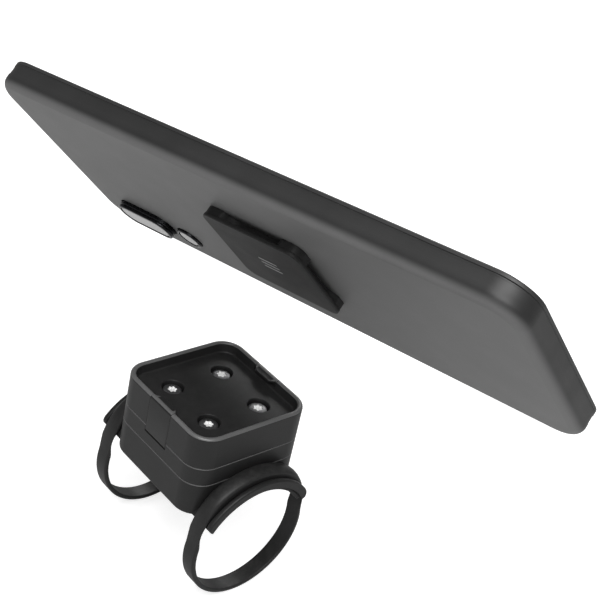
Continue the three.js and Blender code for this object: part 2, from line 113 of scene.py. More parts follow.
def rounded_outline(half_x, half_y, radius, steps=10):
    """Points round a rectangle with round corners, the same number for every size."""
    spots = []
    for quarter, (side_x, side_y) in enumerate(((1, 1), (-1, 1), (-1, -1), (1, -1))):
        for step in range(steps + 1):
            angle = math.pi / 2 * (quarter + step / steps)
            spots.append((
                side_x * (half_x - radius) + radius * math.cos(angle),
                side_y * (half_y - radius) + radius * math.sin(angle),
            ))
    return spots


def arc(middle, radius, start, end, steps=6):
    """Points of an arc in a profile, with its angles in degrees."""
    spots = []
    for step in range(steps + 1):
        angle = math.radians(start + (end - start) * step / steps)
        spots.append((middle[0] + radius * math.cos(angle), middle[1] + radius * math.sin(angle)))
    return spots


def rounding(radius, height, start, end, steps=6, inset=0.0):
    """An arc as (inset, height) pairs of a body's profile, that touches the inset line."""
    return [(inset + radius - x, z) for x, z in arc((0, height), radius, start, end, steps)]


def circle(middle, radius, steps):
    x, y = middle
    angles = [2 * math.pi * step / steps for step in range(steps)]
    return [(x + radius * math.cos(angle), y + radius * math.sin(angle)) for angle in angles]


def ease(value, start, end):
    """0 before the start, 1 after the end, and a smooth change between them."""
    share = min(max((value - start) / (end - start), 0.0), 1.0)
    return share * share * (3 - 2 * share)


def loft(rings, ring_closes=False):
    """Vertices and faces through rings with the same number of points, capped unless they close."""
    count = len(rings[0])
    spots = [spot for ring in rings for spot in ring]
    faces = []
    last = len(rings) if ring_closes else len(rings) - 1
    for row in range(last):
        here, there = row * count, (row + 1) % len(rings) * count
        for step in range(count):
            after = (step + 1) % count
            faces.append((here + step, here + after, there + after, there + step))
    if not ring_closes:
        faces.append(tuple(reversed(range(count))))
        faces.append(tuple(range((len(rings) - 1) * count, len(rings) * count)))
    return spots, faces


def upright_loft(half_x, half_y, radius, profile, steps=10, middle=(0, 0)):
    """A rounded-rectangle body whose profile is (inset from the outline, height)."""
    rings = []
    for inset, height in profile:
        smallest = min(radius - inset, half_x - inset, half_y - inset)
        outline = rounded_outline(half_x - inset, half_y - inset, max(smallest, 0.02), steps)
        rings.append([(x + middle[0], y + middle[1], height) for x, y in outline])
    return loft(rings)


def turned(profile, middle, steps=40):
    """A body turned about an upright line, from (radius, height) pairs."""
    return loft([[(x, y, height) for x, y in circle(middle, radius, steps)] for radius, height in profile])


def drawn_along_y(outline, low, high):
    """An outline in X and Z, run along Y."""
    return loft([[(x, low, z) for x, z in outline], [(x, high, z) for x, z in outline]])


def rod_along_y(x, z, radius, low, high, steps=32):
    return drawn_along_y(circle((x, z), radius, steps), low, high)


def rod_along_x(y, z, radius, low, high):
    spots, faces = rod_along_y(y, z, radius, low, high, 24)
    return [(along, across, up) for across, along, up in spots], faces


def swept_about_stem(section, angles):
    """Rings about the stem's axis; section gives (y, radius) pairs for degrees from the top."""
    rings = []
    for degrees in angles:
        angle = math.radians(degrees)
        sin, cos = math.sin(angle), math.cos(angle)
        rings.append([(radius * sin, y, radius * cos) for y, radius in section(degrees)])
    return rings


def spread(half, steps):
    """Even places from -half to half."""
    return [half * (2 * step / steps - 1) for step in range(steps + 1)]


def mirrored(body, axis=0):
    """A body's copy on the other side, across X = 0 or, for axis 1, across Y = 0."""
    spots, faces = body
    signs = [-1 if place == axis else 1 for place in range(3)]
    flipped = [tuple(sign * value for sign, value in zip(signs, spot)) for spot in spots]
    return flipped, [tuple(reversed(face)) for face in faces]


def both_sides(body):
    return [body, mirrored(body)]


def laid_along_x(body, y, z):
    """An upright body laid down, so that its height runs along X."""
    spots, faces = body
    return [(up, y + across, z + along) for along, across, up in spots], faces


# ---------------------------------------------------------------- pieces from lofts


def mesh_of(name, body):
    spots, faces = body
    mesh = bpy.data.meshes.new(name)
    mesh.from_pydata([[value * MM for value in spot] for spot in spots], [], faces)
    work = bmesh.new()
    work.from_mesh(mesh)
    bmesh.ops.remove_doubles(work, verts=work.verts, dist=1e-7)
    bmesh.ops.recalc_face_normals(work, faces=work.faces)
    work.to_mesh(mesh)
    work.free()
    return mesh


def shape(name, body):
    made = bpy.data.objects.new(name, mesh_of(name, body))
    bpy.context.scene.collection.objects.link(made)
    return made


def apply_modifiers(piece):
    graph = bpy.context.evaluated_depsgraph_get()
    final = bpy.data.meshes.new_from_object(piece.evaluated_get(graph))
    piece.modifiers.clear()
    piece.data = final


def carve(piece, joined=(), removed=()):
    """Joins bodies to a piece and cuts others out of it."""
    tools = []
    for operation, bodies in (("UNION", joined), ("DIFFERENCE", removed)):
        for body in bodies:
            tool = shape("tool", body)
            step = piece.modifiers.new(operation.title(), "BOOLEAN")
            step.operation = operation
            step.solver = "EXACT"
            step.object = tool
            tools.append(tool)
    apply_modifiers(piece)
    for tool in tools:
        bpy.data.objects.remove(tool)
    return piece


def finish_edges(piece, width=0.0, angle=38, segments=2):
    """A small rounding on the hard edges, then smooth shading that keeps flat faces flat."""
    if width:
        bevel = piece.modifiers.new("Edges", "BEVEL")
        bevel.width = width * MM
        bevel.segments = segments
        bevel.limit_method = "ANGLE"
        bevel.angle_limit = math.radians(angle)
        bevel.use_clamp_overlap = True
        bevel.miter_outer = "MITER_ARC"
    apply_modifiers(piece)
    work = bmesh.new()
    work.from_mesh(piece.data)
    bmesh.ops.dissolve_degenerate(work, edges=work.edges, dist=2e-7)
    for face in work.faces:
        face.smooth = True
    for edge in work.edges:
        edge.smooth = len(edge.link_faces) == 2 and edge.calc_face_angle(0) < math.radians(angle)
    work.to_mesh(piece.data)
    work.free()
    weighted = piece.modifiers.new("Even shading", "WEIGHTED_NORMAL")
    weighted.keep_sharp = True
    weighted.weight = 60
    apply_modifiers(piece)
    return piece


def place(piece, body, node, material, slot, docked=False):
    """Gives a piece its finish and its body, and lets it stand for its CAD node."""
    if docked:
        piece.data.transform(TO_HELD)
    piece.data.materials.clear()
    piece.data.materials.append(material)
    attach(piece, body)
    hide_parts(node)
    return piece


# ---------------------------------------------------------------- shared surface effects


def new_group(name, inputs, outputs):
    """A node group. An input with a number is a value and one without is a vector; outputs are values."""
    group = bpy.data.node_groups.new(name, "ShaderNodeTree")
    for label, value in inputs.items():
        kind = "NodeSocketVector" if value is None else "NodeSocketFloat"
        socket = group.interface.new_socket(label, in_out="INPUT", socket_type=kind)
        if value is not None:
            socket.default_value = value
    for label in outputs:
        group.interface.new_socket(label, in_out="OUTPUT", socket_type="NodeSocketFloat")
    return group, group.nodes.new("NodeGroupInput"), group.nodes.new("NodeGroupOutput")


def add_noise(tree, vector, scale, detail=3.0, roughness=0.55):
    noise = tree.nodes.new("ShaderNodeTexNoise")
    noise.inputs["Detail"].default_value = detail
    noise.inputs["Roughness"].default_value = roughness
    tree.links.new(vector, noise.inputs["Vector"])
    if isinstance(scale, (int, float)):
        noise.inputs["Scale"].default_value = scale
    else:
        tree.links.new(scale, noise.inputs["Scale"])
    return noise.outputs["Fac"]


def add_math(tree, operation, first, second=0.5, third=None, clamp=False):
    """A Math node on numbers and sockets."""
    node = tree.nodes.new("ShaderNodeMath")
    node.operation = operation
    node.use_clamp = clamp
    for socket, value in zip(node.inputs, (first, second, third)):
        if value is None:
            continue
        if isinstance(value, (int, float)):
            socket.default_value = value
        else:
            tree.links.new(value, socket)
    return node.outputs[0]


def add_range(tree, value, low, high, out_low=0.0, out_high=1.0):
    node = tree.nodes.new("ShaderNodeMapRange")
    node.inputs["From Min"].default_value = low
    node.inputs["From Max"].default_value = high
    for label, end in (("To Min", out_low), ("To Max", out_high)):
        if isinstance(end, (int, float)):
            node.inputs[label].default_value = end
        else:
            tree.links.new(end, node.inputs[label])
    tree.links.new(value, node.inputs["Value"])
    return node.outputs["Result"]


def add_mix(tree, factor, first, second):
    node = tree.nodes.new("ShaderNodeMix")
    node.data_type = "RGBA"
    tree.links.new(factor, node.inputs["Factor"])
    for label, colour in (("A", first), ("B", second)):
        socket = [s for s in node.inputs if s.name == label and s.type == "RGBA"][0]
        if isinstance(colour, tuple):
            socket.default_value = colour
        else:
            tree.links.new(colour, socket)
    return [s for s in node.outputs if s.type == "RGBA"][0]


def make_moulded_grain():
    """Fine moulded texture: a height, and a slow cloudiness for colour and roughness."""
    inputs = {"Vector": None, "Grain Scale": 4000.0, "Cloud Scale": 60.0}
    group, given, out = new_group("moulded grain", inputs, ("Height", "Cloud", "Speckle"))
    vector = given.outputs["Vector"]
    fine = add_noise(group, vector, given.outputs["Grain Scale"], 2.0, 0.6)
    coarse_scale = add_math(group, "MULTIPLY", given.outputs["Grain Scale"], 0.31)
    coarse = add_noise(group, vector, coarse_scale, 2.0, 0.5)
    height = add_math(group, "MULTIPLY_ADD", coarse, 0.55, add_math(group, "MULTIPLY", fine, 0.45))
    cloud = add_range(group, add_noise(group, vector, given.outputs["Cloud Scale"], 4.0, 0.6), 0.3, 0.7)
    speckle = add_range(group, fine, 0.56, 0.74)
    group.links.new(height, out.inputs["Height"])
    group.links.new(cloud, out.inputs["Cloud"])
    group.links.new(speckle, out.inputs["Speckle"])
    return group


def make_dust():
    """Dust on faces that look up: a mask."""
    group, given, out = new_group("settled dust", {"Vector": None, "Amount": 0.3}, ("Mask",))
    geometry = group.nodes.new("ShaderNodeNewGeometry")
    split = group.nodes.new("ShaderNodeSeparateXYZ")
    group.links.new(geometry.outputs["Normal"], split.inputs[0])
    upward = add_range(group, split.outputs["Z"], 0.35, 1.0)
    patches = add_range(group, add_noise(group, given.outputs["Vector"], 420.0, 5.0, 0.7), 0.45, 0.78)
    mask = add_math(group, "MULTIPLY", upward, patches)
    mask = add_math(group, "MULTIPLY", mask, given.outputs["Amount"])
    group.links.new(mask, out.inputs["Mask"])
    return group


def make_scuffs():
    """Fine hairline marks from handling: a mask."""
    group, given, out = new_group("handling marks", {"Vector": None, "Amount": 0.3}, ("Mask",))
    masks = []
    for stretch, turn in (((1.0, 14.0, 6.0), 0.4), ((11.0, 1.0, 5.0), -0.7)):
        mapping = group.nodes.new("ShaderNodeMapping")
        mapping.inputs["Scale"].default_value = stretch
        mapping.inputs["Rotation"].default_value = (0.0, 0.0, turn)
        group.links.new(given.outputs["Vector"], mapping.inputs["Vector"])
        streaks = add_noise(group, mapping.outputs[0], 90.0, 5.0, 0.75)
        masks.append(add_range(group, streaks, 0.62, 0.72))
    both = add_math(group, "MAXIMUM", masks[0], masks[1])
    group.links.new(add_math(group, "MULTIPLY", both, given.outputs["Amount"]), out.inputs["Mask"])
    return group


def make_turned_rings():
    """Fine rings on turned metal, about the upright middle line: a height and a streak mask."""
    group, given, out = new_group("turned rings", {"Vector": None, "Scale": 3000.0}, ("Height", "Streak"))
    split = group.nodes.new("ShaderNodeSeparateXYZ")
    group.links.new(given.outputs["Vector"], split.inputs[0])
    squares = [add_math(group, "POWER", split.outputs[axis], 2.0) for axis in ("X", "Y")]
    radius = add_math(group, "SQRT", add_math(group, "ADD", *squares))
    rejoin = group.nodes.new("ShaderNodeCombineXYZ")
    group.links.new(radius, rejoin.inputs["X"])
    group.links.new(add_math(group, "MULTIPLY", split.outputs["Z"], 0.3), rejoin.inputs["Z"])
    streak = add_noise(group, rejoin.outputs[0], given.outputs["Scale"], 3.0, 0.7)
    group.links.new(streak, out.inputs["Height"])
    group.links.new(add_range(group, streak, 0.35, 0.65), out.inputs["Streak"])
    return group


def make_facing():
    """Where a surface looks along a direction fixed to its own object: a mask."""
    group, given, out = new_group("facing a direction", {"Normal": None, "Direction": None}, ("Mask",))
    dot = group.nodes.new("ShaderNodeVectorMath")
    dot.operation = "DOT_PRODUCT"
    group.links.new(given.outputs["Normal"], dot.inputs[0])
    group.links.new(given.outputs["Direction"], dot.inputs[1])
    soft = group.nodes.new("ShaderNodeMapRange")
    soft.interpolation_type = "SMOOTHSTEP"
    soft.inputs["From Min"].default_value = 0.2
    soft.inputs["From Max"].default_value = 0.95
    group.links.new(dot.outputs["Value"], soft.inputs["Value"])
    group.links.new(soft.outputs["Result"], out.inputs["Mask"])
    return group


MOULDED_GRAIN = make_moulded_grain()
FACING = make_facing()
DUST = make_dust()
SCUFFS = make_scuffs()
RINGS = make_turned_rings()


def use_group(tree, group, **values):
    node = tree.nodes.new("ShaderNodeGroup")
    node.node_tree = group
    for label, value in values.items():
        socket = node.inputs[label.replace("_", " ")]
        if isinstance(value, (int, float, tuple)):
            socket.default_value = value
        else:
            tree.links.new(value, socket)
    return node


def shaded(level, tint=(1.0, 1.0, 1.0)):
    """A grey of one level, or a tinted colour as bright as that level."""
    return tuple(level * part for part in tint) + (1.0,)


def bump(tree, height, strength, distance):
    node = tree.nodes.new("ShaderNodeBump")
    node.inputs["Strength"].default_value = strength
    node.inputs["Distance"].default_value = distance * MM
    tree.links.new(height, node.inputs["Height"])
    return node.outputs["Normal"]


DUST_COLOUR = (0.19, 0.185, 0.178, 1.0)
DUST_ROUGHNESS = 0.3
SCUFF_ROUGHNESS = 0.15
SPECKLE_SHARE = 0.35
TARNISH_SHARE = 0.35
CLOUD_ROUGHNESS = 0.045
RING_ROUGHNESS = 0.06


def surface_normal(tree):
    """The normal fixed to the piece, so that it doesn't change as the piece moves."""
    return tree.nodes.new("ShaderNodeTexCoord").outputs["Normal"]


def new_material(name):
    material = bpy.data.materials.new(name)
    material.use_nodes = True
    tree = material.node_tree
    coordinates = tree.nodes.new("ShaderNodeTexCoord")
    return material, tree, tree.nodes["Principled BSDF"], coordinates.outputs["Object"]


def moulded(name, level, rough, grain=4200.0, depth=0.02, variation=0.16, dust=0.12, scuffs=0.1,
            specular=0.5, facing=None):
    """Moulded plastic or rubber: fine grain, slight cloudiness, a little dust and handling.

    facing is a direction and the level of the faces that look that way; on the case it paints the back lighter
    than the walls, partly as a lighter back plastic and partly as painted light from below.
    """
    material, tree, surface, vector = new_material(name)
    texture = use_group(tree, MOULDED_GRAIN, Vector=vector, Grain_Scale=grain, Cloud_Scale=70.0)
    settled = use_group(tree, DUST, Vector=vector, Amount=dust).outputs["Mask"]
    marks = use_group(tree, SCUFFS, Vector=vector, Amount=scuffs).outputs["Mask"]
    cloud = texture.outputs["Cloud"]

    def clouded(middle):
        return add_mix(tree, cloud, shaded(middle * (1 - variation)), shaded(middle * (1 + variation)))

    base = clouded(level)
    # faces that look along the given direction get a lighter tone: partly a second plastic, partly painted light
    if facing:
        direction, facing_level = facing
        looks_that_way = use_group(tree, FACING, Normal=surface_normal(tree), Direction=tuple(direction))
        base = add_mix(tree, looks_that_way.outputs["Mask"], base, clouded(facing_level))
    speckle = add_math(tree, "MULTIPLY", texture.outputs["Speckle"], SPECKLE_SHARE)
    fleck_colour, scuff_colour = shaded(level * 1.9 + 0.01), shaded(level * 2.2 + 0.02)
    flecked = add_mix(tree, speckle, base, fleck_colour)
    worn = add_mix(tree, marks, flecked, scuff_colour)
    dusty = add_mix(tree, settled, worn, DUST_COLOUR)
    tree.links.new(dusty, surface.inputs["Base Color"])
    cloudy = add_range(tree, cloud, 0.0, 1.0, rough - CLOUD_ROUGHNESS, rough + CLOUD_ROUGHNESS)
    scuffed = add_math(tree, "MULTIPLY_ADD", marks, SCUFF_ROUGHNESS, cloudy)
    final = add_math(tree, "MULTIPLY_ADD", settled, DUST_ROUGHNESS, scuffed, clamp=True)
    tree.links.new(final, surface.inputs["Roughness"])
    surface.inputs["Specular IOR Level"].default_value = specular
    tree.links.new(bump(tree, texture.outputs["Height"], 0.35, depth), surface.inputs["Normal"])
    return material


def machined(name, colour, rough, scale=2600.0, metal=1.0):
    """Turned or drawn metal with fine rings, and slight tarnish."""
    material, tree, surface, vector = new_material(name)
    rings = use_group(tree, RINGS, Vector=vector, Scale=scale)
    texture = use_group(tree, MOULDED_GRAIN, Vector=vector, Grain_Scale=1500.0, Cloud_Scale=240.0)
    dark = shaded(0.72, colour)
    bright = tuple(min(value * 1.15, 1.0) for value in colour) + (1.0,)
    streaked = add_mix(tree, rings.outputs["Streak"], dark, bright)
    tarnish = add_math(tree, "MULTIPLY", texture.outputs["Cloud"], TARNISH_SHARE)
    tarnished = add_mix(tree, tarnish, streaked, dark)
    tree.links.new(tarnished, surface.inputs["Base Color"])
    surface.inputs["Metallic"].default_value = metal
    streaky = add_range(
        tree, rings.outputs["Streak"], 0.0, 1.0, rough + RING_ROUGHNESS, rough - RING_ROUGHNESS)
    tree.links.new(streaky, surface.inputs["Roughness"])
    tree.links.new(bump(tree, rings.outputs["Height"], 0.25, 0.01), surface.inputs["Normal"])
    return material


def cover_glass(name, level, rough):
    """Glossy flat cover over a light field, with a trace of smears."""
    material, tree, surface, vector = new_material(name)
    marks = use_group(tree, SCUFFS, Vector=vector, Amount=0.35).outputs["Mask"]
    texture = use_group(tree, MOULDED_GRAIN, Vector=vector, Grain_Scale=900.0, Cloud_Scale=110.0)
    tint = add_mix(tree, texture.outputs["Cloud"], shaded(level * 0.93), shaded(level * 1.06))
    smeared = add_mix(tree, marks, tint, shaded(level * 1.2))
    tree.links.new(smeared, surface.inputs["Base Color"])
    tree.links.new(add_math(tree, "MULTIPLY_ADD", marks, 0.2, rough), surface.inputs["Roughness"])
    surface.inputs["Coat Weight"].default_value = 1.0
    surface.inputs["Coat Roughness"].default_value = 0.04
    tree.links.new(bump(tree, texture.outputs["Cloud"], 0.04, 0.02), surface.inputs["Normal"])
    return material


HOUSING = moulded("matt housing plastic", 0.0145, 0.46, grain=5200.0, depth=0.014, dust=0.04, specular=0.3)
BASE = moulded("matt base plastic", 0.012, 0.46, grain=5200.0, depth=0.014, dust=0.03, specular=0.3)
LEVER = moulded("matt lever plastic", 0.0125, 0.46, grain=5200.0, depth=0.014, dust=0.04, specular=0.3)
# painted highlight: a much lighter, glossier copy of the housing plastic for rims and seam edges, with real
# handling marks
EDGE_HIGHLIGHT_PLASTIC = moulded("plastic edge with painted highlight", 0.105, 0.34, grain=5200.0, depth=0.006, dust=0.04,
                      scuffs=0.3)
PAD = moulded("pad rubber", 0.02, 0.72, grain=3000.0, depth=0.03, specular=0.35)
STRAP = moulded("strap rubber", 0.014, 0.46, grain=3600.0, depth=0.02, scuffs=0.05, specular=0.28)
ADAPTER = moulded("adapter plastic", 0.012, 0.55, grain=5200.0, depth=0.014, dust=0.0, specular=0.3)
ADAPTER_BARS = moulded("lighter adapter plastic", 0.2, 0.4, grain=5200.0, depth=0.01, dust=0.0)
# the back is much lighter than the walls, smoothly over the fillet: partly a satin back plastic, partly painted
# light from below
CASE = moulded("satin case plastic", 0.015, 0.5, grain=6000.0, depth=0.01, variation=0.07, dust=0.0,
               scuffs=0.04, facing=(CASE_BACKWARD, 0.135))
BUMPER = moulded("bumper rubber", 0.02, 0.5, grain=5200.0, depth=0.014, dust=0.0)
KEYS = moulded("key rubber", 0.018, 0.5, grain=5200.0, depth=0.014, dust=0.0)
BEZEL = machined("dark anodised bezel", (0.035, 0.036, 0.039), 0.26, scale=2200.0)
GLASS = cover_glass("window glass", 0.15, 0.16)
STEEL = machined("blackened steel", (0.3, 0.3, 0.305), 0.42)
# painted highlight: near-white and barely metallic, for the glint seen inside the screws' sockets
SOCKET_GLINT_STEEL = machined("socket steel with painted glint", (0.97, 0.97, 0.96), 0.5, metal=0.25)
PIN_STEEL = machined("pin steel", (0.32, 0.32, 0.325), 0.28)
SPRING = machined("spring wire", (0.55, 0.55, 0.56), 0.22, scale=1800.0)
BRASS = machined("insert brass", (0.62, 0.44, 0.17), 0.3)

# ---------------------------------------------------------------- head levels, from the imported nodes

base_low, base_high = box_mm("saddle_base")
frame_low, frame_high = box_mm("mid_frame")
tray_low, tray_high = box_mm("top_housing")
lever_low, lever_high = box_mm("latch_right")
pin_low, pin_high = box_mm("latch_pin_right")
spring_low, spring_high = box_mm("latch_spring_right")
plate_low, plate_high = docked_box_mm("adapter_plate")
floor_mount = next(mount for mount in frame["record"]["mounts"] if mount["name"] == "tray_floor")
tray_floor = floor_mount["pos_m"][2] / MM

head_half = tray_high.x
rim_top = tray_high.z
head_corner = 6.5
flat_end = 4.0  # how far in the flat end of a frame or tray profile starts

# base, frame and tray meet at thin seams with rounded edges
lower_seam = frame_low.z - 0.08
upper_seam = (frame_high.z + tray_low.z) / 2
seam_half = 0.02
seam_edge = 0.15

screw_boxes = [box_mm(f"torx_screw_{number}") for number in range(1, 5)]
screw_spots = [middle_of(low, high) for low, high in screw_boxes]
screw_low, screw_high = screw_boxes[0]
screw_head_height = 1.7
screw_seat = screw_high.z - screw_head_height
screw_bore = 1.75
counterbore = (screw_high.x - screw_low.x) / 2 + 0.45

lever_thickness = 1.65
lever_boss = 1.7
pin_x = (pin_low.x + pin_high.x) / 2
pin_z = (pin_low.z + pin_high.z) / 2
pin_bore = (pin_high.x - pin_low.x) / 2 + 0.09
slot_half = lever_high.y + 0.08
spring_z = (spring_low.z + spring_high.z) / 2

# radii about the stem: the groove in the base, and the ledge and lip of its strap hooks
groove = 18.5
ledge = groove + 1.0
lip = ledge + 1.4


def spring_bores():
    """Room for the two springs, from the frame's middle to just under its sides."""
    radius = (spring_high.z - spring_low.z) / 2 + 0.35
    inner, outer = spring_low.x - 0.25, head_half - 0.9
    return both_sides(rod_along_x(0, spring_z, radius, inner, outer))


def paint_edge_highlight(piece, edge_faces):
    """Paints a highlight on the faces that a test picks by their middle, in millimetres, and normal: a lighter,
    glossier plastic with handling marks stands for the light that their rounded edges catch.
    """
    piece.data.materials.append(EDGE_HIGHLIGHT_PLASTIC)
    for face in piece.data.polygons:
        if edge_faces(face.center / MM, face.normal):
            face.material_index = 1


def at_a_seam(middle, normal):
    """Whether a face is on the rounded edge of a seam, on the head's outside."""
    near = min(abs(middle.z - lower_seam), abs(middle.z - upper_seam))
    on_head = max(abs(middle.x), abs(middle.y)) < head_half + 0.1
    return on_head and near < seam_half + seam_edge and 0.1 < abs(normal.z) < 0.96


# ---------------------------------------------------------------- base with its hooks


def make_base():
    """The block that sits on the stem, with a round hook at each end for a strap."""
    top = lower_seam - seam_half
    skirt, skirt_inset = 0.7, 3.0
    profile = [(skirt_inset, base_low.z), (skirt, base_low.z)]
    profile += rounding(skirt, base_low.z + skirt, -80, 0)
    profile += rounding(seam_edge, top - seam_edge, 0, 90, 4)
    body = shape("saddle_base_body", upright_loft(head_half, head_half, head_corner, profile))

    root = groove - 0.5
    start, end = head_half - head_corner / 2, base_high.y
    lip_start = end - 1.7
    lip_whole, lip_fade = 52.0, 6.0  # degrees from the top
    lip_round = 0.62
    lip_foot = ((0.35, 0.0), (0.12, 0.1), (0.0, 0.35))  # how far before the lip, and share of its height

    def hook_section(degrees):
        past = max(0.0, abs(degrees) - lip_whole) / lip_fade
        top_of_lip = ledge + (lip - ledge) * math.sqrt(max(0.0, 1 - past * past))
        rise = max(top_of_lip - ledge, 0.02)
        round_by = min(lip_round, rise * 0.9)
        round_at = ledge + rise - round_by
        pairs = [(start, root), (start, ledge)]
        pairs += [(lip_start - before, ledge + share * rise) for before, share in lip_foot]
        pairs += arc((lip_start + round_by, round_at), round_by, 180, 90, 5)
        pairs += arc((end - round_by, round_at), round_by, 90, 0, 5)
        return pairs + [(end, root)]

    hook = loft(swept_about_stem(hook_section, spread(lip_whole + lip_fade, 64)))
    stem_room = rod_along_y(0, 0, groove, -end - 2 * PAST, end + 2 * PAST, 160)
    insert_radius, insert_floor = 2.36, 8.0
    insert_profile = [(insert_radius, insert_floor), (insert_radius, top + PAST)]
    insert_room = [turned(insert_profile, spot, 32) for spot in screw_spots]
    carve(body, [hook, mirrored(hook, 1)], [stem_room] + insert_room)
    finish_edges(body, 0.16)
    place(body, "head", "saddle_base", BASE, "housing_plastic")
    # painted highlight on the seam's rounded edges
    paint_edge_highlight(body, at_a_seam)


def make_pad():
    """The rubber lining of the groove, bent round the stem."""
    _, high = box_mm("saddle_pad")
    thickness, edge, half_sweep = 1.0, 0.3, 56.9
    near, far = high.z - thickness + edge, high.z - edge
    length = high.y - edge

    def section(_):
        pairs = []
        for y, radius, start in (
            (length, near, -90), (length, far, 0), (-length, far, 90), (-length, near, 180),
        ):
            pairs += arc((y, radius), edge, start, start + 90, 4)
        return pairs

    body = shape("saddle_pad_rubber", loft(swept_about_stem(section, spread(half_sweep, 72))))
    finish_edges(body, 0.12)
    place(body, "head", "saddle_pad", PAD, "pad_rubber")


def make_strap(node):
    """A stretched rubber loop: broad and crowned over its hook, thin and flat behind the stem."""
    low, high = box_mm(node)
    middle, half = (low.y + high.y) / 2, (high.y - low.y) / 2
    hook_inner, stem_inner = ledge + 0.25, 17.5
    hook_outer, stem_outer = high.z, high.x
    most_crown, outer_round, inner_round = 0.22, 1.15, 0.45

    def section(degrees):
        from_top = min(degrees, 360 - degrees)
        inner = hook_inner + (stem_inner - hook_inner) * ease(from_top, 62, 82)
        outer = hook_outer + (stem_outer - hook_outer) * ease(from_top, 32, 82)
        thick = outer - inner
        big, small = min(outer_round, thick * 0.46), min(inner_round, thick * 0.3)
        crown = most_crown * (1 - ease(from_top, 60, 90))
        shoulder = (half * 0.4, outer - crown * 0.3)
        pairs = arc((half - small, inner + small), small, -90, 0, 4)
        pairs += arc((half - big, outer - crown - big), big, 0, 80, 7)
        pairs += [shoulder, (0.0, outer), (-shoulder[0], shoulder[1])]
        pairs += arc((-half + big, outer - crown - big), big, 100, 180, 7)
        pairs += arc((-half + small, inner + small), small, 180, 270, 4)
        return [(middle + y, radius) for y, radius in pairs]

    steps = 180
    angles = [360 * step / steps for step in range(steps)]
    body = shape(f"{node}_band", loft(swept_about_stem(section, angles), ring_closes=True))
    finish_edges(body)
    place(body, "head", node, STRAP, "strap_rubber")


# ---------------------------------------------------------------- frame and tray housing


def make_frame():
    """The plate between base and tray, with the springs' bores and a notch for each lever."""
    low, high = lower_seam + seam_half, upper_seam - seam_half
    profile = [(flat_end, low)] + rounding(seam_edge, low + seam_edge, -90, 0, 4)
    profile += rounding(seam_edge, high - seam_edge, 0, 90, 4) + [(flat_end, high)]
    body = shape("mid_frame_body", upright_loft(head_half, head_half, head_corner, profile))
    through = (low - PAST, high + PAST)
    opening = upright_loft(4.25, 8.5, 2.0, [(0, height) for height in through])
    bores = [turned([(screw_bore, height) for height in through], spot, 28) for spot in screw_spots]
    notch_inner, notch_outer = head_half - 2.95, head_half + PAST
    notch_low, notch_high = lever_low.z - 0.35, high + PAST
    notch = drawn_along_y([
        (notch_inner, notch_low), (notch_outer, notch_low),
        (notch_outer, notch_high), (notch_inner, notch_high),
    ], -slot_half, slot_half)
    carve(body, removed=[opening] + bores + both_sides(notch) + spring_bores())
    finish_edges(body, 0.1)
    place(body, "head", "mid_frame", HOUSING, "housing_plastic")
    # painted highlight on the seams' rounded edges
    paint_edge_highlight(body, at_a_seam)


def make_tray():
    """The top housing: a rounded rim, a sloping wall, and a floor with a pocket for each screw."""
    low = upper_seam + seam_half
    outer_round, inner_round, floor_round = 0.85, 0.66, 0.55
    mouth_inset, floor_inset = 1.55, 2.05
    slope = (floor_inset - mouth_inset) / (rim_top - tray_floor)
    near_floor = floor_inset - slope * floor_round
    profile = [(flat_end, low)] + rounding(seam_edge, low + seam_edge, -90, 0, 4)
    profile += rounding(outer_round, rim_top - outer_round, 0, 90, 8)
    profile += [
        (mouth_inset - x, z) for x, z in arc((inner_round, rim_top - inner_round), inner_round, 90, 172, 7)
    ]
    profile += rounding(floor_round, tray_floor + floor_round, 0, -90, 6, near_floor)
    body = shape("top_housing_body", upright_loft(head_half, head_half, head_corner, profile, 14))

    seat, mouth = screw_seat - 0.25, 0.24
    pocket = [(screw_bore, low - PAST), (screw_bore, seat), (counterbore, seat)]
    pocket += rounding(mouth, tray_floor - mouth, 0, 90, 4, counterbore)
    pocket += [(counterbore + mouth, tray_floor + PAST)]
    pockets = [turned(pocket, spot, 48) for spot in screw_spots]
    boss_room = lever_boss + 0.2
    boss_inner, boss_top = pin_x - boss_room, pin_z + boss_room
    lever_back, outside = head_half - lever_thickness - 0.2, head_half + PAST
    slot = drawn_along_y([
        (boss_inner, low - PAST), (outside, low - PAST), (outside, rim_top + PAST),
        (lever_back, rim_top + PAST), (lever_back, boss_top), (boss_inner, boss_top),
    ], -slot_half, slot_half)
    pin_hole = rod_along_y(pin_x, pin_z, pin_bore, pin_low.y - 0.2, pin_high.y + 0.2)
    carve(body, removed=pockets + both_sides(slot) + both_sides(pin_hole) + spring_bores())
    finish_edges(body, 0.1)
    place(body, "head", "top_housing", HOUSING, "housing_plastic")

    # painted highlight on the rim's top and on the seams' rounded edges
    def takes_painted_highlight(middle, normal):
        return at_a_seam(middle, normal) or (middle.z > rim_top - 0.5 and normal.z > 0.3)

    paint_edge_highlight(body, takes_painted_highlight)


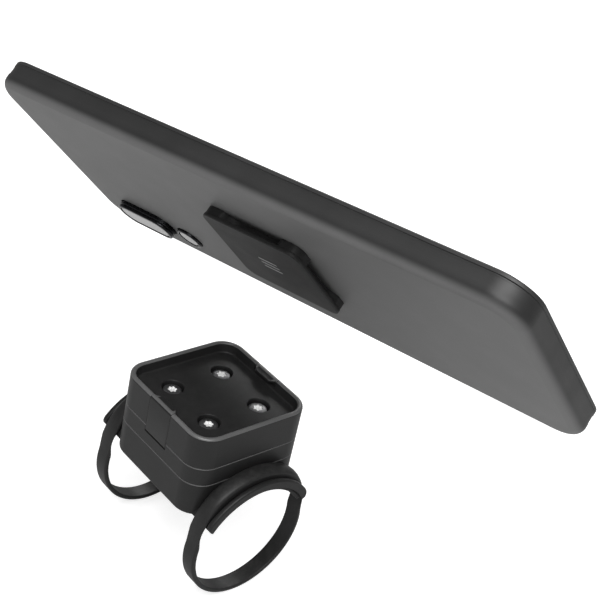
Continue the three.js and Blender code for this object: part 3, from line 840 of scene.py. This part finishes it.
def make_lever(side):
    """Finger pad below, pivot boss in the middle, and a nose that swells out of the tray's wall on top."""
    outer, inner = lever_high.x, lever_high.x - lever_thickness
    wall, nose_tip = inner - 0.04, plate_high.x - 0.85
    bottom, top = lever_low.z, rim_top - 0.02
    nose_bottom = plate_low.z + 1.95
    half = lever_high.y
    toe, outer_round, inner_round = 0.35, 0.85, 0.66
    crest = top - 0.36
    past_boss = abs(pin_x - inner) >= lever_boss
    reach = 0 if past_boss else math.degrees(math.acos((pin_x - inner) / lever_boss))

    def section(y):
        """The lever's outline in X and Z at one place along it."""
        swell = ease(half - 0.1 - abs(y), 0.0, 1.9)
        tip = wall - (wall - nose_tip) * swell
        round_by = 0.02 + 0.24 * swell
        outline = [(inner, bottom), (outer - toe, bottom)]
        outline += arc((outer - toe, bottom + toe), toe, -90, 0, 4)[1:]
        outline += arc((outer - outer_round, top - outer_round), outer_round, 0, 90, 8)
        outline += arc((inner + inner_round, top - inner_round), inner_round, 90, 135, 4)
        outline += arc((tip + round_by, crest - round_by), round_by, 75, 180, 5)
        outline += [(tip, nose_bottom + 0.1), (tip + 0.02, nose_bottom), (inner, nose_bottom)]
        outline += arc((pin_x, pin_z), lever_boss, 180 - reach, 180 + reach, 12)
        return outline

    rings = [[(x, y, z) for x, z in section(y)] for y in spread(half, 36)]
    body = shape(f"latch_{side}_lever", loft(rings))
    hole = rod_along_y(pin_x, pin_z, pin_bore, lever_low.y - PAST, lever_high.y + PAST)
    carve(body, removed=[hole])
    finish_edges(body, 0.12, segments=3)
    if side == "left":
        body.data.transform(Matrix.Scale(-1, 4, Vector((1, 0, 0))))
        body.data.flip_normals()
    place(body, f"lever_{side}", f"latch_{side}", LEVER, "lever_plastic")

    # painted highlight on the lever's top and on the rounded edges of its sides
    def takes_painted_highlight(middle, normal):
        on_top = middle.z > rim_top - 0.3 and normal.z > 0.3
        at_side = abs(middle.y) > half - 0.13 and 0.15 < abs(normal.x) < 0.97 and abs(middle.x) > inner
        return on_top or at_side

    paint_edge_highlight(body, takes_painted_highlight)


def make_screw(number):
    """A threaded screw with a domed head and a six-lobed socket."""
    node = f"torx_screw_{number}"
    low, high = screw_boxes[number - 1]
    spot = screw_spots[number - 1]
    radius, top = (high.x - low.x) / 2, high.z
    seat = top - screw_head_height
    crest, valley, pitch, turns = 1.5, 1.36, 0.32, 14
    thread_start = low.z + 0.35
    profile = [(1.05, low.z), (1.4, thread_start)]
    for turn in range(turns):
        start = thread_start + turn * pitch
        profile += [(crest, start + 0.08), (valley, start + 0.24)]
    profile += [(crest, thread_start + turns * pitch + 0.1), (crest, seat - 0.1), (1.62, seat)]
    profile += [(radius - 0.12, seat), (radius, seat + 0.12)]
    profile += arc((radius - 0.42, top - 0.5), 0.42, 0, 80, 7)
    profile += [(radius - 0.75, top - 0.02), (1.5, top)]
    body = shape(f"{node}_body", turned(profile, spot, 56))

    points, lobes, turned_by = 72, 6, number * 0.4
    socket_radius, lobe_height, lobe_power = 1.13, 0.17, 0.8
    star = []
    for step in range(points):
        angle = 2 * math.pi * step / points
        lobe = math.cos(lobes * (angle + turned_by))
        star.append((socket_radius + lobe_height * math.copysign(abs(lobe) ** lobe_power, lobe), angle))
    rings = []
    socket_profile = ((-0.3, -0.5), (-0.06, -0.42), (0.0, -0.1), (0.08, 0.02), (0.08, PAST))
    for grow, height in socket_profile:
        rings.append([
            (spot[0] + (r + grow) * math.cos(angle), spot[1] + (r + grow) * math.sin(angle), top + height)
            for r, angle in star
        ])
    carve(body, removed=[loft(rings)])
    finish_edges(body, 0.0, angle=34)
    place(body, "head", node, STEEL, "blackened_steel")
    # the socket's faces get the near-white painted glint
    body.data.materials.append(SOCKET_GLINT_STEEL)
    for face in body.data.polygons:
        middle = face.center / MM
        off = math.hypot(middle.x - spot[0], middle.y - spot[1])
        if off < 1.36 and top - 1.2 < middle.z < top - 0.015:
            face.material_index = 1


make_base()
make_pad()
make_strap("strap_front")
make_strap("strap_rear")
make_frame()
make_tray()
make_lever("right")
make_lever("left")
for number in range(1, 5):
    make_screw(number)

# ---------------------------------------------------------------- phone side, made as it sits in the tray

case_low, case_high = docked_box_mm("case_shell")
_, bumper_high = docked_box_mm("case_bumper")
camera_low, camera_high = docked_box_mm("camera_bezel")
flash_low, flash_high = docked_box_mm("flash_bezel")
case_middle = middle_of(case_low, case_high)
camera_middle = middle_of(camera_low, camera_high)
flash_middle = middle_of(flash_low, flash_high)
camera_half = half_sizes(camera_low, camera_high)
flash_radius = half_sizes(flash_low, flash_high)[0]
corner_room = 0.06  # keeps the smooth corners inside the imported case's flatter ones
case_half = tuple(half - corner_room for half in half_sizes(case_low, case_high))
case_corner = 9.7
case_wall = 1.8
case_steps = 16
cavity_floor = case_low.z + 1.1


def make_adapter():
    """Square plate under the case, with a shallow arched window let into each side above it."""
    half, radius = plate_high.x, 3.4
    straight = half - radius
    low, high = plate_low.z, case_low.z - 0.02
    level = low + 1.15
    window_half, window_depth, window_power = 9.75, 3.4, 5
    side_steps, corner_steps = 44, 10

    def quarter_outline(inset, windows):
        """One side and the corner after it."""
        for along in spread(straight, side_steps):
            share = min(abs(along) / window_half, 1.0)
            yield half - inset - windows * window_depth * (1 - share ** window_power), along
        for step in range(1, corner_steps):
            angle = math.pi / 2 * step / corner_steps
            bend = radius - inset
            yield straight + bend * math.cos(angle), straight + bend * math.sin(angle)

    def outline(inset, windows):
        spots = []
        for quarter in range(4):
            cos, sin = math.cos(quarter * math.pi / 2), math.sin(quarter * math.pi / 2)
            spots += [(x * cos - y * sin, x * sin + y * cos) for x, y in quarter_outline(inset, windows)]
        return spots

    edge, soft = 0.4, 0.16
    profile = [(inset, z, 0.0) for inset, z in rounding(edge, low + edge, -90, 0, 5)]
    profile += [(inset, z, 0.0) for inset, z in rounding(soft, level - soft, 0, 90, 3)]
    profile += [(soft, level, 1.0), (soft, high, 1.0)]
    rings = [[(x, y, z) for x, y in outline(inset, windows)] for inset, z, windows in profile]
    body = shape("adapter_plate_body", loft(rings))
    bar_profile = [(0.06, low - 0.07), (0.0, low - 0.03), (0.0, low + 0.2)]
    bar_half_x, bar_half_y, bar_corner, bar_spacing = 0.4, 3.2, 0.39, 2.1
    bars = [
        upright_loft(bar_half_x, bar_half_y, bar_corner, bar_profile, 5, (bar_spacing * row, 0.0))
        for row in (-1, 0, 1)
    ]
    carve(body, joined=bars)
    finish_edges(body, 0.08)
    raised = [face.index for face in body.data.polygons if face.center.z / MM < low - 0.02]
    place(body, "phone_case", "adapter_plate", ADAPTER, "adapter_plastic", docked=True)
    body.data.materials.append(ADAPTER_BARS)
    for index in raised:
        body.data.polygons[index].material_index = 1


def make_case():
    """The shell: a filleted back, a shallow waist along its walls, and holes for the windows and keys."""
    back, top = case_low.z, case_high.z
    flat_inset, back_fillet, inner_round, lip_edge, waist = 14.0, 3.0, 1.2, 0.12, 0.13
    profile = [(flat_inset, back)] + rounding(back_fillet, back + back_fillet, -90, 0, 16)
    profile += [(0.0, back + 3.9), (waist, back + 4.3), (waist, top - 0.7)]
    profile += [(0.0, top - 0.35), (0.0, top - 0.1)]
    profile += [(lip_edge, top), (case_wall - lip_edge, top), (case_wall, top - lip_edge)]
    profile += rounding(inner_round, cavity_floor + inner_round, 0, -90, 8, case_wall)
    profile += [(flat_inset, cavity_floor)]
    body = shape("case_shell_body", upright_loft(*case_half, case_corner, profile, case_steps, case_middle))

    gap = 0.3
    through = (back - PAST, cavity_floor + PAST)
    camera_x, camera_y = (half + gap for half in camera_half)
    camera_hole = upright_loft(camera_x, camera_y, camera_x, [(0.0, z) for z in through], 20, camera_middle)
    flash_hole = turned([(flash_radius + gap, z) for z in through], flash_middle, 56)
    side = case_middle[0] + case_half[0]
    key_holes = []
    for node in ("power_key", "volume_key"):
        low, high = docked_box_mm(node)
        half_y, half_z = (high.y - low.y) / 2 + gap, (high.z - low.z) / 2 + gap
        hole = upright_loft(half_z, half_y, half_z - 0.05, [(0.0, side - 3 * PAST), (0.0, side + PAST)], 8)
        key_holes.append(laid_along_x(hole, (low.y + high.y) / 2, (low.z + high.z) / 2))
    carve(body, removed=[camera_hole, flash_hole] + key_holes)
    finish_edges(body, 0.14)
    place(body, "phone_case", "case_shell", CASE, "case_plastic", docked=True)


def make_bumper():
    """The soft rim round the case's front."""
    low, high = case_high.z + 0.03, bumper_high.z
    outer, inner, foot_outer, foot_inner = 0.5, 0.3, 0.18, 0.15
    width = case_wall + 1.0
    profile = [(foot_outer, low), (0.0, low + foot_outer)] + rounding(outer, high - outer, 0, 90, 8)
    profile += [(width - inner, high), (width - 0.1, high - 0.1), (width, high - inner)]
    profile += [(width, low + foot_inner), (width - foot_inner, low)]
    rings = []
    for inset, height in profile:
        half_x, half_y = (half - inset for half in case_half)
        outline = rounded_outline(half_x, half_y, case_corner - inset, case_steps)
        rings.append([(x + case_middle[0], y + case_middle[1], height) for x, y in outline])
    body = shape("case_bumper_rim", loft(rings, ring_closes=True))
    finish_edges(body)
    place(body, "phone_case", "case_bumper", BUMPER, "case_rubber", docked=True)


def make_window(name, half_x, half_y, rim, steps):
    """A bezel with a recess for its glass; its face is turned away from the case."""
    low, high = docked_box_mm(f"{name}_bezel")
    middle = middle_of(low, high)
    bottom = low.z
    face = [(rim + 0.02, bottom), (rim - 0.14, bottom), (0.34, bottom)]
    face += [(0.1, bottom + 0.1), (0.0, bottom + 0.34)]
    fine_groove = [(0.0, bottom + 0.9), (0.12, bottom + 1.0), (0.12, bottom + 1.12), (0.0, bottom + 1.22)]
    profile = face + fine_groove + [(0.0, high.z)]
    body = shape(f"{name}_bezel_ring", upright_loft(half_x, half_y, half_x, profile, steps, middle))
    room = [(0.0, bottom - PAST), (0.0, bottom + 1.2)]
    recess = upright_loft(half_x - rim, half_y - rim, half_x - rim, room, steps, middle)
    carve(body, removed=[recess])
    finish_edges(body, 0.05)
    place(body, "phone_case", f"{name}_bezel", BEZEL, "bezel_metal", docked=True)

    low, high = docked_box_mm(f"{name}_glass")
    half_x, half_y = half_sizes(low, high)
    edge = 0.12
    profile = [(2 * edge, low.z), (edge * 0.4, low.z + edge * 0.4), (0.0, low.z + 2 * edge)]
    profile += [(0.0, high.z - edge), (edge, high.z)]
    pane = shape(f"{name}_glass_pane", upright_loft(half_x, half_y, half_x, profile, steps, middle))
    finish_edges(pane)
    place(pane, "phone_case", f"{name}_glass", GLASS, "window_glass", docked=True)


def make_key(node, body_name):
    """A rubber key cover with rounded ends, proud of the case's side."""
    low, high = docked_box_mm(node)
    half_z, half_y = (high.z - low.z) / 2, (high.y - low.y) / 2
    foot, crown = 0.15, 0.42
    profile = [(foot, low.x), (0.0, low.x + foot)] + rounding(crown, high.x - crown, 0, 90)
    flat = upright_loft(half_z, half_y, half_z - 0.02, profile, 12)
    body = shape(f"{node}_cover", laid_along_x(flat, (low.y + high.y) / 2, (low.z + high.z) / 2))
    finish_edges(body)
    place(body, body_name, node, KEYS, "case_rubber", docked=True)


make_adapter()
make_case()
make_bumper()
make_window("camera", *camera_half, rim=1.0, steps=20)
make_window("flash", flash_radius, flash_radius, rim=0.8, steps=14)
make_key("power_key", "power_button")
make_key("volume_key", "volume_button")

# ---------------------------------------------------------------- springs between the frame and the levers


def make_spring(side):
    """An open coil between the frame and the back of a lever."""
    low, high = box_mm(f"latch_spring_{side}")
    wire = 0.17
    coil = (high.z - low.z) / 2 - wire
    start, run = low.x + wire, high.x - low.x - 2 * wire
    turns, steps_a_turn, wire_sides = 5, 40, 10
    steps = turns * steps_a_turn
    rings = []
    for step in range(steps + 1):
        share = step / steps
        angle = 2 * math.pi * turns * share
        outward = Vector((0, math.cos(angle), math.sin(angle)))
        rings.append([
            tuple(outward * (coil + across) + Vector((start + run * share + along, 0, spring_z)))
            for across, along in circle((0, 0), wire, wire_sides)
        ])
    body = shape(f"latch_{side}_coil", loft(rings))
    finish_edges(body)
    place(body, "head", f"latch_spring_{side}", SPRING, "spring_steel")
    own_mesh(body)


make_spring("right")
make_spring("left")

# ---------------------------------------------------------------- small inner parts keep their CAD shape

inner_parts = {f"threaded_insert_{number}": BRASS for number in range(1, 5)}
inner_parts.update({f"latch_pin_{side}": PIN_STEEL for side in ("left", "right")})
for node, material in inner_parts.items():
    mesh = frame["nodes"][node].data
    mesh.materials.clear()
    mesh.materials.append(material)

# ---------------------------------------------------------------- floor, lights and camera

OBJECT_MIDDLE = (0.0, 0.01, 0.05)


def make_floor():
    low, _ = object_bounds()
    level, size = low.z - 0.0005, 4.0
    corners = [(-size, -size, level), (size, -size, level), (size, size, level), (-size, size, level)]
    mesh = bpy.data.meshes.new("floor")
    mesh.from_pydata(corners, [], [(0, 1, 2, 3)])
    floor = bpy.data.objects.new("floor", mesh)
    bpy.context.scene.collection.objects.link(floor)
    material, tree, surface, vector = new_material("pale floor")
    texture = use_group(tree, MOULDED_GRAIN, Vector=vector, Grain_Scale=900.0, Cloud_Scale=3.0)
    tree.links.new(add_mix(tree, texture.outputs["Cloud"], shaded(0.6), shaded(0.63)),
                   surface.inputs["Base Color"])
    surface.inputs["Roughness"].default_value = 0.85
    surface.inputs["Specular IOR Level"].default_value = 0.2
    # seen directly the floor is almost white; it throws less light back at the object
    seen = tree.nodes.new("ShaderNodeLightPath").outputs["Is Camera Ray"]
    surface.inputs["Emission Color"].default_value = shaded(1.0)
    tree.links.new(add_math(tree, "MULTIPLY", seen, 0.72), surface.inputs["Emission Strength"])
    mesh.materials.append(material)


def add_light(name, spot, power, width, height):
    """A rectangular light that looks at the middle of the object."""
    data = bpy.data.lights.new(name, "AREA")
    data.shape = "RECTANGLE"
    data.size = width
    data.size_y = height
    data.energy = power
    light = bpy.data.objects.new(name, data)
    light.location = spot
    light.rotation_mode = "QUATERNION"
    light.rotation_quaternion = (Vector(OBJECT_MIDDLE) - Vector(spot)).to_track_quat("-Z", "Y")
    bpy.context.scene.collection.objects.link(light)


def make_studio_world():
    """White all round, and dimmer as a light than it looks."""
    world = bpy.data.worlds.new("studio")
    world.use_nodes = True
    tree = world.node_tree
    backdrop = tree.nodes["Background"]
    backdrop.inputs["Color"].default_value = shaded(1.0)
    seen = tree.nodes.new("ShaderNodeLightPath").outputs["Is Camera Ray"]
    tree.links.new(add_math(tree, "MULTIPLY_ADD", seen, 0.75, 0.25), backdrop.inputs["Strength"])
    bpy.context.scene.world = world


def make_camera():
    data = bpy.data.cameras.new("camera")
    data.sensor_width = 36.0
    data.lens = 80.7
    data.clip_start = 0.01
    data.clip_end = 50.0
    camera = bpy.data.objects.new("camera", data)
    spot = Vector((-0.20682, -0.21985, 0.2484))
    right = Vector((0.75569, -0.62544, 0.19432))
    up = Vector((0.20546, 0.50812, 0.83642))
    back = Vector((-0.62186, -0.59215, 0.51248))
    turn = Matrix((right, up, back)).transposed()
    camera.matrix_world = Matrix.Translation(spot) @ turn.to_4x4()
    bpy.context.scene.collection.objects.link(camera)
    bpy.context.scene.camera = camera


make_floor()
add_light("soft box in front", (-0.34, -0.36, 0.8), 9.0, 0.65, 0.65)
add_light("soft box overhead", (0.1, 0.08, 0.95), 2.5, 0.6, 0.6)
add_light("soft light from behind", (0.75, 0.7, 0.62), 3.0, 0.5, 0.4)
make_studio_world()
make_camera()
bpy.context.scene.view_settings.view_transform = "Standard"
